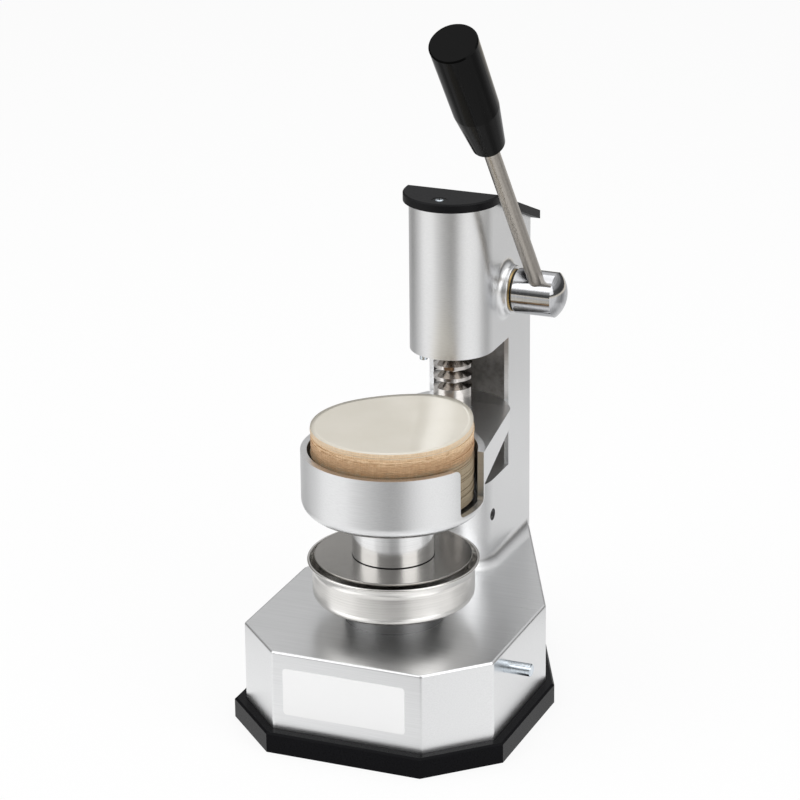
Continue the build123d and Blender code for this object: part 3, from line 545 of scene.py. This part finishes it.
def paper_stack():
    """Cut papers lie a little off one another; the last few curl up at one side."""
    bm = bmesh.new()
    low, high = PAPER_BODY
    step = (high - low) / PAPER_LAYERS
    first_curled = PAPER_LAYERS * PAPER_BODY_CURL_FROM
    for k in range(PAPER_LAYERS):
        shift = random_shift(PAPER_SHIFT)
        radius = PAPER_R + random.uniform(*PAPER_R_SPREAD)
        share = max(0.0, (k - first_curled) / (PAPER_LAYERS - first_curled))
        curl = PAPER_CURL * PAPER_BODY_CURL * share
        bottom = low + step * k
        top = bottom + step * PAPER_LAYER_FILL
        add_sheet(bm, radius, bottom, top, shift, curl, CUT_FACE, rings=BODY_SHEET_RINGS)
    under, over = PAPER_TOP_SHEET
    for k in range(PAPER_TOP_SHEETS):
        z = high + k * PAPER_TOP_STEP
        shift = random_shift(PAPER_TOP_SHIFT)
        share = PAPER_TOP_CURL + (1 - PAPER_TOP_CURL) * (k + 1) / PAPER_TOP_SHEETS
        add_sheet(bm, PAPER_R, z + under, z + over, shift, PAPER_CURL * share, FLAT_FACE)
    obj = mesh_object("paper_stack", bm)
    obj.data.materials.append(PAPER_SHEET)
    obj.data.materials.append(PAPER_EDGE)
    for face in obj.data.polygons:
        face.use_smooth = face.material_index == FLAT_FACE
    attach(obj, "ram")
    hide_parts("paper_discs")


def disc_on(bm, place, rings, index=0):
    """A closed turned form; rings are (radius, height) from the bottom up, round the place's Z."""
    spokes = TURNED_SPOKES
    loops = []
    for radius, height in rings:
        verts = []
        for k in range(spokes):
            a = 2 * math.pi * k / spokes
            point = Vector((radius * math.cos(a), radius * math.sin(a), height))
            verts.append(bm.verts.new(place @ point))
        loops.append(verts)
    bm.faces.new(loops[0][::-1]).material_index = index
    bm.faces.new(loops[-1]).material_index = index
    for low, high in zip(loops, loops[1:]):
        for k in range(spokes):
            n = (k + 1) % spokes
            bm.faces.new([low[k], low[n], high[n], high[k]]).material_index = index


def screw_cross_shade(bm, place):
    """Painted shade: black bars that stand for the shaded cross recess in a screw head."""
    length, width = (share * CAP_SCREW_R for share in CAP_SLOT_SIZE)
    size = Matrix.Diagonal((length, width, CAP_SLOT_HEIGHT, 1))
    for turn in (CAP_SLOT_TURN, CAP_SLOT_TURN + math.pi / 2):
        arm = place @ Matrix.Rotation(turn, 4, "Z") @ size
        made = bmesh.ops.create_cube(bm, size=1.0, matrix=arm)
        for face in {f for v in made["verts"] for f in v.link_faces}:
            face.material_index = CROSS_SHADE_FACE


def cap_screws():
    """Small cross-head screws, each in a black washer that fills its seat in the cap, with a cross of
    painted shade in the head.
    """
    bm = bmesh.new()
    for y in CAP_SCREW_Y:
        behind = max(0.0, y - CAP_FOLD_Y)
        z = CAP_TOP_Z - behind * math.tan(CAP_SLOPE)
        tilt = -CAP_SLOPE if behind else 0.0
        place = Matrix.Translation((0, y, z)) @ Matrix.Rotation(tilt, 4, "X")
        seat = CAP_THICKNESS - CAP_SEAT_DEPTH
        washer = [(CAP_SEAT_R, seat), (CAP_SEAT_R, CAP_THICKNESS - CAP_WASHER_SINK)]
        disc_on(bm, place, washer, WASHER_FACE)
        dome = [(share * CAP_SCREW_R, CAP_THICKNESS + rise) for share, rise in CAP_SCREW_DOME]
        disc_on(bm, place, dome, HEAD_FACE)
        screw_cross_shade(bm, place @ Matrix.Translation((0, 0, CAP_THICKNESS + CAP_SLOT_HEIGHT)))
    obj = mesh_object("cap_screw_heads", bm)
    for name in CAP_SCREW_MATERIALS:
        obj.data.materials.append(MATERIALS[name])
    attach(obj, "root")
    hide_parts("cap_screws")


def stub_shadow_ring():
    """Painted shadow: a thin black ring for the shaded chamfer where the press stub stands on the disc.
    """
    bm = bmesh.new()
    disc_on(bm, Matrix(), [(SHADOW_RING_R, SHADOW_RING_Z), (SHADOW_RING_R, SHADOW_RING_Z + SHADOW_RING_HEIGHT)])
    obj = mesh_object("stub_shadow_ring", bm)
    dress(obj, MATERIALS["black_oxide"])
    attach(obj, "ram")


def front_label():
    """A bare white plate with round corners on the front face of the base."""
    half_x, half_z = LABEL_SIZE[0] / 2, LABEL_SIZE[1] / 2
    bm = bmesh.new()
    corners = []
    for sx, sz, start in ((1, 1, 0), (-1, 1, 90), (-1, -1, 180), (1, -1, 270)):
        for step in range(LABEL_CORNER_STEPS + 1):
            a = math.radians(start + 90 * step / LABEL_CORNER_STEPS)
            x = LABEL_CENTRE[0] + sx * (half_x - LABEL_CORNER) + LABEL_CORNER * math.cos(a)
            z = LABEL_CENTRE[1] + sz * (half_z - LABEL_CORNER) + LABEL_CORNER * math.sin(a)
            corners.append((x, z))
    back = [bm.verts.new((x, BASE_FRONT_Y, z)) for x, z in corners]
    front = [bm.verts.new((x, BASE_FRONT_Y - LABEL_THICKNESS, z)) for x, z in corners]
    bm.faces.new(front)
    bm.faces.new(back[::-1])
    for k in range(len(corners)):
        n = (k + 1) % len(corners)
        bm.faces.new([back[k], back[n], front[n], front[k]])
    bmesh.ops.recalc_face_normals(bm, faces=bm.faces)
    obj = mesh_object("front_label", bm)
    dress(obj, LABEL_WHITE)
    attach(obj, "root")


def make_camera():
    """Looks at the object from in front, a little to the right and above."""
    right = Vector((math.cos(CAMERA_YAW), math.sin(CAMERA_YAW), 0))
    flat, rise = math.cos(CAMERA_PITCH), math.sin(CAMERA_PITCH)
    back = Vector((math.sin(CAMERA_YAW) * flat, -math.cos(CAMERA_YAW) * flat, rise))
    up = back.cross(right)
    side = math.cos(CAMERA_ROLL) * right + math.sin(CAMERA_ROLL) * up
    over = -math.sin(CAMERA_ROLL) * right + math.cos(CAMERA_ROLL) * up
    place = right * AIM_SIDE + Vector((0, 0, AIM_Z)) + back * CAMERA_DISTANCE
    camera = bpy.data.cameras.new("camera")
    camera.lens = CAMERA_LENS
    camera.sensor_width = CAMERA_SENSOR
    camera.clip_start, camera.clip_end = CAMERA_CLIP
    obj = bpy.data.objects.new("camera", camera)
    obj.matrix_world = Matrix.Translation(place) @ Matrix((side, over, back)).transposed().to_4x4()
    bpy.context.scene.collection.objects.link(obj)
    bpy.context.scene.camera = obj


def grey_ramp(tree, value, stops, mode="LINEAR"):
    """Grey that follows the stops, which are (value from 0 to 1, grey)."""
    return color_ramp(tree, value, [(place, (grey,) * 3) for place, grey in stops], mode)


def turn_ramp(tree, vector):
    """Grey by direction round the vertical axis; -Y is in the middle of the ramp."""
    split = node(tree, "ShaderNodeSeparateXYZ")
    angle = node(tree, "ShaderNodeMath", operation="ARCTAN2")
    back = node(tree, "ShaderNodeMath", operation="MULTIPLY")
    back.inputs[1].default_value = -1.0
    share = node(tree, "ShaderNodeMapRange")
    share.inputs["From Min"].default_value = -math.pi
    share.inputs["From Max"].default_value = math.pi
    tree.links.new(vector, split.inputs["Vector"])
    tree.links.new(split.outputs["Y"], back.inputs[0])
    tree.links.new(split.outputs["X"], angle.inputs[0])
    tree.links.new(back.outputs["Value"], angle.inputs[1])
    tree.links.new(angle.outputs["Value"], share.inputs["Value"])
    return grey_ramp(tree, share.outputs["Result"], STUDIO_ROUND, "EASE"), split


def seen_directly(tree, paths):
    """One for camera and transmission rays."""
    either = node(tree, "ShaderNodeMath", operation="MAXIMUM")
    tree.links.new(paths.outputs["Is Camera Ray"], either.inputs[0])
    tree.links.new(paths.outputs["Is Transmission Ray"], either.inputs[1])
    return either.outputs["Value"]


def make_world():
    """White where it is seen, a grey studio in reflections, and an even fill elsewhere."""
    world = bpy.data.worlds.new("studio")
    bpy.context.scene.world = world
    world.use_nodes = True
    tree = world.node_tree
    tree.nodes.clear()
    coords = node(tree, "ShaderNodeTexCoord")
    round_color, split = turn_ramp(tree, coords.outputs["Generated"])
    height = grey_ramp(tree, split.outputs["Z"], STUDIO_HEIGHT)
    gloss = node(tree, "ShaderNodeMix", data_type="RGBA", blend_type="MULTIPLY")
    gloss.inputs["Factor"].default_value = STUDIO_TURN_SHARE
    tree.links.new(height, gloss.inputs[MIX_FIRST])
    tree.links.new(round_color, gloss.inputs[MIX_SECOND])
    paths = node(tree, "ShaderNodeLightPath")
    direct = node(tree, "ShaderNodeBackground")
    direct.inputs["Color"].default_value = (1, 1, 1, 1)
    fill = node(tree, "ShaderNodeBackground")
    fill.inputs["Color"].default_value = (1, 1, 1, 1)
    fill.inputs["Strength"].default_value = FILL_STRENGTH
    studio = node(tree, "ShaderNodeBackground")
    tree.links.new(gloss.outputs[MIX_RESULT], studio.inputs["Color"])
    glossy = node(tree, "ShaderNodeMixShader")
    final = node(tree, "ShaderNodeMixShader")
    out = node(tree, "ShaderNodeOutputWorld")
    tree.links.new(paths.outputs["Is Glossy Ray"], glossy.inputs[0])
    tree.links.new(fill.outputs[0], glossy.inputs[1])
    tree.links.new(studio.outputs[0], glossy.inputs[2])
    tree.links.new(seen_directly(tree, paths), final.inputs[0])
    tree.links.new(glossy.outputs[0], final.inputs[1])
    tree.links.new(direct.outputs[0], final.inputs[2])
    tree.links.new(final.outputs[0], out.inputs["Surface"])


def blend_by_reach(tree, reach, between, beyond, color):
    """The given colour near the origin; between the two reaches it turns to the one beyond."""
    share = spread(tree, reach, 1.0, 0.0, between[0], between[1])
    mix = node(tree, "ShaderNodeMix", data_type="RGBA", blend_type="MIX")
    mix.inputs[MIX_FIRST].default_value = (*beyond, 1.0)
    tree.links.new(share, mix.inputs["Factor"])
    tree.links.new(color, mix.inputs[MIX_SECOND])
    return mix.outputs[MIX_RESULT]


def make_floor():
    """White where it is seen; metal reflects it pale near by, then grey, warm and dark."""
    bpy.ops.mesh.primitive_plane_add(size=FLOOR_SIZE, location=(0, 0, 0))
    floor = bpy.context.object
    floor.name = "floor"
    made = bpy.data.materials.new("floor_white")
    made.use_nodes = True
    tree = made.node_tree
    tree.nodes.clear()
    coords = node(tree, "ShaderNodeTexCoord")
    round_color, _ = turn_ramp(tree, coords.outputs["Object"])
    reach = node(tree, "ShaderNodeVectorMath", operation="LENGTH")
    tree.links.new(coords.outputs["Object"], reach.inputs[0])
    near = node(tree, "ShaderNodeMix", data_type="RGBA", blend_type="MIX")
    near.inputs[MIX_FIRST].default_value = (*FLOOR_PALE, 1.0)
    out_by = reach.outputs["Value"]
    tree.links.new(grey_ramp(tree, out_by, FLOOR_SHARE), near.inputs["Factor"])
    tree.links.new(round_color, near.inputs[MIX_SECOND])
    far = blend_by_reach(tree, out_by, FLOOR_WARM_REACH, FLOOR_WARM, near.outputs[MIX_RESULT])
    card_color = blend_by_reach(tree, out_by, FLOOR_DARK_REACH, FLOOR_DARK, far)
    paths = node(tree, "ShaderNodeLightPath")
    diffuse = node(tree, "ShaderNodeBsdfDiffuse")
    diffuse.inputs["Color"].default_value = (*FLOOR_WHITE, 1.0)
    white = node(tree, "ShaderNodeEmission")
    cards = node(tree, "ShaderNodeEmission")
    tree.links.new(card_color, cards.inputs["Color"])
    seen = node(tree, "ShaderNodeMixShader")
    seen.inputs[0].default_value = FLOOR_GLOW
    glossy = node(tree, "ShaderNodeMixShader")
    final = node(tree, "ShaderNodeMixShader")
    out = node(tree, "ShaderNodeOutputMaterial")
    tree.links.new(diffuse.outputs[0], seen.inputs[1])
    tree.links.new(white.outputs[0], seen.inputs[2])
    tree.links.new(paths.outputs["Is Glossy Ray"], glossy.inputs[0])
    tree.links.new(diffuse.outputs[0], glossy.inputs[1])
    tree.links.new(cards.outputs[0], glossy.inputs[2])
    tree.links.new(seen_directly(tree, paths), final.inputs[0])
    tree.links.new(glossy.outputs[0], final.inputs[1])
    tree.links.new(seen.outputs[0], final.inputs[2])
    tree.links.new(final.outputs[0], out.inputs["Surface"])
    floor.data.materials.append(made)


def soft_lamp(name, place, size, watts):
    """A rectangular lamp that faces the object."""
    lamp = bpy.data.lights.new(name, "AREA")
    lamp.shape = "RECTANGLE"
    lamp.size, lamp.size_y = size
    lamp.energy = watts
    obj = bpy.data.objects.new(name, lamp)
    obj.location = place
    obj.rotation_mode = "QUATERNION"
    obj.rotation_quaternion = (Vector(LAMP_AIM) - Vector(place)).to_track_quat("-Z", "Y")
    bpy.context.scene.collection.objects.link(obj)


dress_frame()
paper_stack()
cap_screws()
stub_shadow_ring()
front_label()
make_camera()
make_world()
make_floor()
for lamp_row in LAMPS:
    soft_lamp(*lamp_row)
bpy.context.scene.view_settings.view_transform = "Standard"
